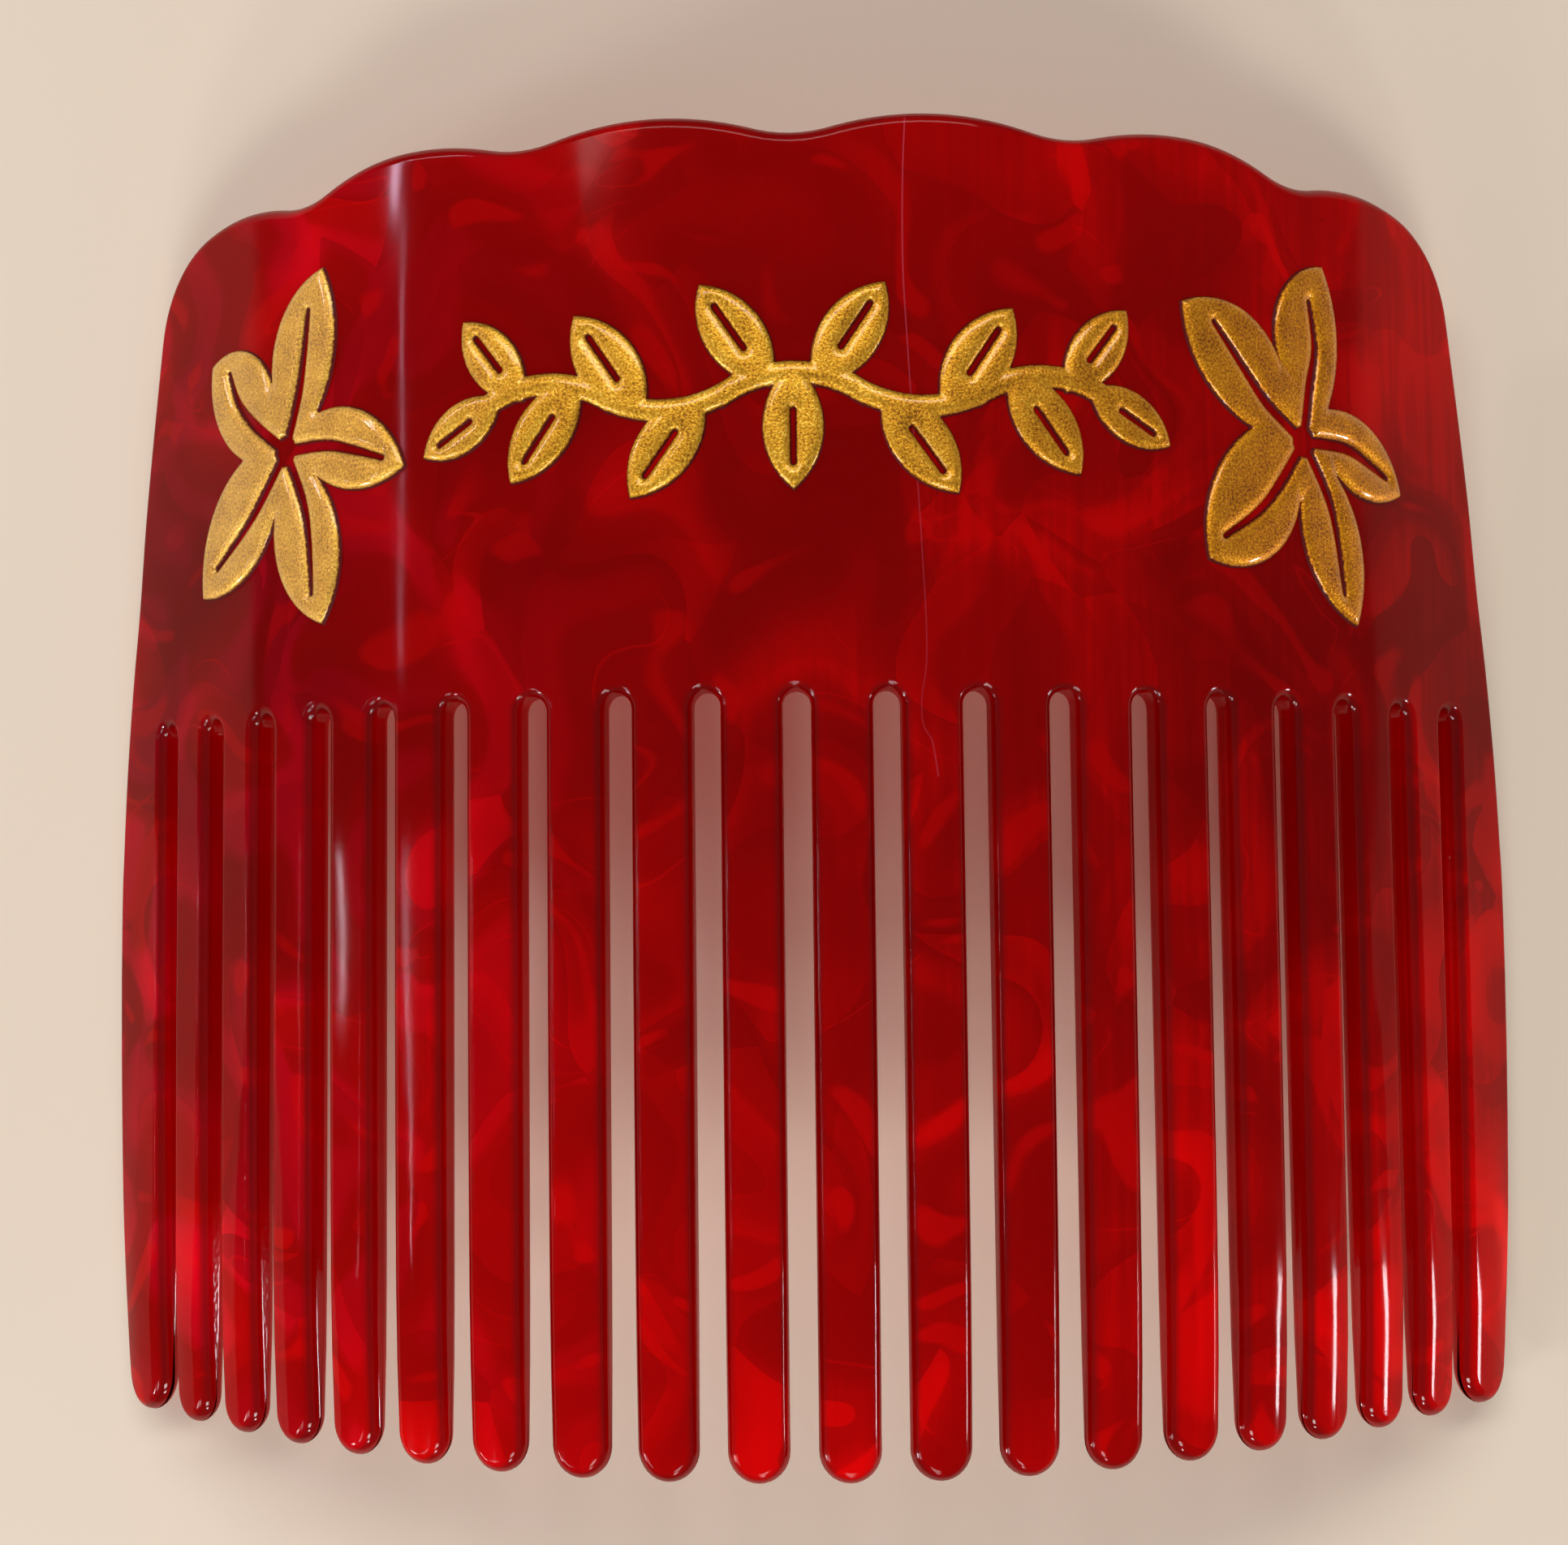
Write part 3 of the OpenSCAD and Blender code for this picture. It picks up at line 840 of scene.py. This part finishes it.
def crack_line(n, s, y, depth, layers):
    """How much of the crack's pale line shows, 0 to 1, on the outer half of the sheet."""
    first_y = CRACK[-1][0]
    span = CRACK[0][0] - first_y
    line = n.add("ShaderNodeFloatCurve", {"Value": n.stretch(y, first_y, CRACK[0][0])})
    curve = line.mapping.curves[0]
    rows = [
        ((row_y - first_y) / span, (row_s - CRACK_LEFT_S) / CRACK_SPAN_S)
        for row_y, row_s in reversed(CRACK)
    ]
    curve.points[0].location = rows[0]
    curve.points[-1].location = rows[-1]
    for row in rows[1:-1]:
        curve.points.new(*row)
    line.mapping.update()
    crack_s = n.math("ADD", n.math("MULTIPLY", line.outputs[0], CRACK_SPAN_S), CRACK_LEFT_S)
    off = n.math("ABSOLUTE", n.math("SUBTRACT", s, crack_s))
    near = n.stretch(off, CRACK_HALF * CRACK_CORE, CRACK_HALF, 1, 0)
    near = n.math("MULTIPLY", near, n.stretch(layers, *CRACK_FADE, CRACK_FAINT, CRACK_STRONG))
    near = n.math("MULTIPLY", near, n.math("GREATER_THAN", y, first_y))
    return n.math("MULTIPLY", near, n.math("LESS_THAN", depth, THICKNESS / 2))


def pearl_red():
    """The comb's plastic: a glossy pearly face mixed with light that passes through it."""
    n = Nodes("pearl_red")
    sheet = n.attribute("sheet", "Vector")
    pattern, cloud = pearl_colour(n, sheet)
    s, y, depth = n.parts(sheet)
    below = n.math("MINIMUM", depth, n.math("SUBTRACT", THICKNESS, depth))
    edge = n.stretch(below, *EDGE_FADE_DEPTH)
    # Painted light: the teeth and the right flank are painted brighter red
    pattern = n.mix(n.stretch(y, *TOOTH_LIGHT_FADE_Y), pattern, n.times(pattern, TOOTH_LIGHT_TINT))
    pattern = n.mix(n.stretch(s, *FLANK_LIGHT_FADE_S), pattern, n.times(pattern, FLANK_LIGHT_TINT))

    # Painted shade darkens the rounded edges and walls, varied by layers along the teeth
    layers = n.noise(n.scaled(sheet, 0.3, 0.03, 5), scale=1.0, detail=0.0, solid=True)
    contrast = n.math("MULTIPLY", n.math("SUBTRACT", layers, 0.5), LAYER_CONTRAST)
    edge_shade = n.math("ADD", contrast, EDGE_SHADE_LEVEL)
    edge_shade_colour = n.add("ShaderNodeCombineColor", {0: edge_shade, 1: edge_shade, 2: edge_shade}).outputs[0]
    colour = n.mix(edge, pattern, n.times(pattern, edge_shade_colour))
    colour = n.mix(crack_line(n, s, y, depth, layers), colour, CRACK_COLOUR)

    # Slow waves in the faces, and small ripples in the edges, strongest at the slots' ends
    wave = n.noise(n.scaled(sheet, 1, 0.5), WAVE_SCALE, detail=0.0)
    off_end = n.math("ABSOLUTE", n.math("SUBTRACT", y, SLOT_CENTRE_Y + SLOT_HALF))
    calm = n.stretch(off_end, RIPPLE_NEAR, RIPPLE_FAR, RIPPLE_AT_SLOTS, RIPPLE_ELSEWHERE)
    fine = n.noise(sheet, RIPPLE_SCALE, detail=0.0, solid=True)
    ripple = n.math("MULTIPLY", fine, n.math("MULTIPLY", edge, calm))
    shader = n.principled({
        "Base Color": colour,
        "Roughness": n.stretch(cloud, *ROUGH_FADE, ROUGHNESS_DARK, ROUGHNESS_LIGHT),
        "IOR": 1.5,
        "Specular IOR Level": 0.32,
        "Normal": n.bump(n.math("ADD", wave, ripple), strength=0.35, distance=0.0003),
        "Coat Weight": edge,
        "Coat Roughness": 0.03,
    })
    lit = n.mix(GLOW_EVENNESS, n.times(pattern, GLOW_TINT), GLOW_RED)
    glow = n.add("ShaderNodeBsdfTranslucent", {"Color": n.mix(edge, lit, GLOW_EDGE_RED)}).outputs[0]
    return n.finish(n.add("ShaderNodeMixShader", {"Fac": GLOW_SHARE, 1: shader, 2: glow}).outputs[0])


# The gold at rising values of its mottling: columns value, colour
GOLD_STOPS = [
    [0.33, (0.25, 0.083, 0.002)],
    [0.44, (0.52, 0.235, 0.007)],
    [0.58, (0.74, 0.365, 0.018)],
    [0.72, (0.93, 0.59, 0.08)],
]

# Mottling, a painted highlight that makes its rim paler, and the gold's surface
GRAIN_SHARE = 0.75
BROAD_SHARE = 0.25
RIM_HIGHLIGHT_FADE = (0.15, 0.8)
RIM_HIGHLIGHT_LIFT = 0.05
GOLD_METALLIC = 0.55
GOLD_ROUGHNESS = 0.34
FLANK_ROUGHNESS = 0.6
GOLD_COAT = 0.6

# The ragged edge of the gold, a painted reflection that makes the left flower paler, and painted shade that
# makes the right one deeper
RAGGED = 0.10
RAGGED_SCALE = 3.0
PAINT_FADE = (-0.03, 0.03)
GOLD_SHEEN_COLOUR = (1.0, 0.72, 0.30)
GOLD_SHEEN_SHARE = 0.16
GOLD_SHEEN_FADE_S = (-20, -40)
GOLD_SHADE_TINT = (0.96, 0.68, 0.06)
GOLD_SHADE_FADE_S = (0, 36)
# The red plastic of the relief's flank, painted darker as the shadow around the gold
RELIEF_FLANK_SHADOW_RED = (0.10, 0.0006, 0.001)


def gold():
    """Mottled gold paint on the relief's top, with a ragged edge to the red of its flank, which is painted
    dark as shadow around the gold.
    """
    n = Nodes("gold")
    sheet = n.attribute("sheet", "Vector")
    inside = n.attribute("inside", "Fac")
    grain = n.noise(sheet, scale=5.0, detail=2.0, roughness=0.65)
    broad = n.noise(sheet, scale=0.45, detail=1.0)
    # A painted highlight: the gold is paler near its edge
    rim_highlight = n.stretch(inside, *RIM_HIGHLIGHT_FADE, RIM_HIGHLIGHT_LIFT, 0)
    both = n.math("ADD", n.math("MULTIPLY", grain, GRAIN_SHARE), n.math("MULTIPLY", broad, BROAD_SHARE))
    colour = n.ramp(n.math("ADD", both, rim_highlight), GOLD_STOPS, "LINEAR")
    ragged = n.math("MULTIPLY", n.math("SUBTRACT", n.noise(sheet, RAGGED_SCALE), 0.5), RAGGED)
    paint = n.stretch(n.math("ADD", inside, ragged), *PAINT_FADE)

    # A painted reflection makes the left flower paler, and painted shade makes the right one deeper
    s = n.parts(sheet)[0]
    gold_sheen = n.mix(GOLD_SHEEN_SHARE, colour, GOLD_SHEEN_COLOUR)
    gold_shade = n.times(colour, GOLD_SHADE_TINT)
    colour = n.mix(n.stretch(s, *GOLD_SHEEN_FADE_S), colour, gold_sheen)
    colour = n.mix(n.stretch(s, *GOLD_SHADE_FADE_S), colour, gold_shade)
    shader = n.principled({
        "Base Color": n.mix(paint, RELIEF_FLANK_SHADOW_RED, colour),
        "Metallic": n.math("MULTIPLY", paint, GOLD_METALLIC),
        "Roughness": n.stretch(paint, 0, 1, FLANK_ROUGHNESS, GOLD_ROUGHNESS),
        "Specular IOR Level": 0.2,
        "Normal": n.bump(n.math("MULTIPLY", grain, paint), strength=0.6, distance=0.00008),
        "Coat Weight": n.math("MULTIPLY", paint, GOLD_COAT),
        "Coat Roughness": 0.1,
    })
    return n.finish(shader)


# The floor's two close tones: columns value, colour
FLOOR_STOPS = [
    [0.3, (0.73, 0.62, 0.50)],
    [0.7, (0.77, 0.66, 0.54)],
]


def floor_paint():
    """A plain pale floor."""
    n = Nodes("floor_paint")
    spot = n.add("ShaderNodeTexCoord").outputs["Object"]
    soft = n.add("ShaderNodeTexNoise", {"Vector": spot, "Scale": 3.0}).outputs["Fac"]
    return n.finish(n.principled({"Base Color": n.ramp(soft, FLOOR_STOPS), "Roughness": 0.9}))


def linked(name, data):
    """A new object in the scene."""
    thing = bpy.data.objects.new(name, data)
    bpy.context.scene.collection.objects.link(thing)
    return thing


def piece(mesh, material, node):
    """A dressed piece that takes the place of a node."""
    thing = linked(mesh.name, mesh)
    mesh.materials.append(material)
    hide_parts(node)
    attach(thing, "root")


def flower_mesh(name, place_at, petals, notches):
    low = (place_at[0] - FLOWER_REACH, place_at[1] - FLOWER_REACH)
    high = (place_at[0] + FLOWER_REACH, place_at[1] + FLOWER_REACH)
    return relief_mesh(name, lambda s, y: flower_field(s, y, place_at, petals, notches), low, high)


# Pieces
piece(comb_mesh(), pearl_red(), "comb")
gold_paint = gold()
left_flower = flower_mesh("gold_flower_left", LEFT_FLOWER, LEFT_PETALS, LEFT_NOTCHES)
right_flower = flower_mesh("gold_flower_right", RIGHT_FLOWER, RIGHT_PETALS, RIGHT_NOTCHES)
piece(left_flower, gold_paint, "flower_left")
piece(right_flower, gold_paint, "flower_right")
piece(relief_mesh("gold_vine", vine_field, VINE_LOW, VINE_HIGH), gold_paint, "vine")

# Floor
FLOOR_HALF_M = 3.0
floor_mesh = bpy.data.meshes.new("floor")
floor_corners = [(x * FLOOR_HALF_M, y * FLOOR_HALF_M, 0) for x, y in ((-1, -1), (1, -1), (1, 1), (-1, 1))]
floor_mesh.from_pydata(floor_corners, [], [(0, 1, 2, 3)])
floor_mesh.materials.append(floor_paint())
floor = linked("floor", floor_mesh)

# Lights: columns name, place in metres, width and height in metres, power in watts, colour
LIGHTS = [
    ["top_soft", (-0.08, 0.64, 0.95), 1.3, 0.28, 7.6, (1.0, 0.98, 0.94)],
    ["front_soft", (0.05, -0.74, 0.85), 0.30, 0.20, 3.6, (1.0, 0.98, 0.94)],
    ["front_spark", (0.05, -0.88, 0.55), 0.16, 0.08, 1.5, (1.0, 0.98, 0.96)],
    ["left_soft", (-0.75, -0.50, 0.55), 0.20, 0.20, 1.2, (0.94, 0.97, 1.0)],
    ["left_front_low", (-0.84, -0.45, 0.26), 0.16, 0.08, 2.2, (1.0, 0.98, 1.0)],
    ["back_left_strip", (-0.75, 0.55, 0.45), 0.35, 0.05, 0.8, (0.9, 0.85, 1.0)],
    ["left_strip", (-0.80, 0.37, 0.36), 0.13, 0.022, 0.50, (1.0, 0.74, 1.0)],
    ["left_thin_strip", (-0.80, 0.20, 0.37), 0.20, 0.006, 0.06, (1.0, 0.74, 1.0)],
    ["left_low_strip", (-0.82, -0.06, 0.38), 0.18, 0.007, 0.14, (1.0, 0.80, 0.96)],
    ["left_lowest_strip", (-0.85, -0.01, 0.18), 0.07, 0.008, 0.08, (1.0, 0.86, 0.96)],
    ["right_window", (0.98, -0.25, 0.10), 0.15, 0.065, 1.8, (0.96, 0.97, 1.0)],
]
for name, at, width, height, power, tint in LIGHTS:
    light = bpy.data.lights.new(name, "AREA")
    light.shape = "RECTANGLE"
    light.size = width
    light.size_y = height
    light.energy = power
    light.color = tint
    lamp = linked(name, light)
    lamp.location = at
    lamp.rotation_euler = (-Vector(at)).to_track_quat("-Z", "Y").to_euler()

WORLD_COLOUR = (0.95, 0.96, 1.0, 1)
WORLD_STRENGTH = 0.15
scene = bpy.context.scene
scene.world = bpy.data.worlds.new("studio")
scene.world.use_nodes = True
background = scene.world.node_tree.nodes["Background"]
background.inputs["Color"].default_value = WORLD_COLOUR
background.inputs["Strength"].default_value = WORLD_STRENGTH
scene.view_settings.view_transform = "Standard"
scene.cycles.max_bounces = 2
scene.cycles.diffuse_bounces = 2
scene.cycles.caustics_reflective = False
scene.cycles.caustics_refractive = False

# Camera: its place in metres and its turns about X, Y and Z in radians
CAMERA_AT_M = (0.00369, -0.00969, 0.19013)
CAMERA_TURN_X = 0.06616
CAMERA_TURN_Y = 0.02867
CAMERA_TURN_Z = -0.01241
camera_data = bpy.data.cameras.new("camera")
camera_data.lens = 53.27
camera_data.sensor_width = 36
camera_data.sensor_fit = "HORIZONTAL"
camera_data.clip_start = 0.01
camera = linked("camera", camera_data)
turn_x = Euler((CAMERA_TURN_X, 0, 0)).to_matrix()
turn_y = Euler((0, CAMERA_TURN_Y, 0)).to_matrix()
turn_z = Euler((0, 0, CAMERA_TURN_Z)).to_matrix()
camera.matrix_world = (turn_x @ turn_y @ turn_z).to_4x4()
camera.location = CAMERA_AT_M
scene.camera = camera
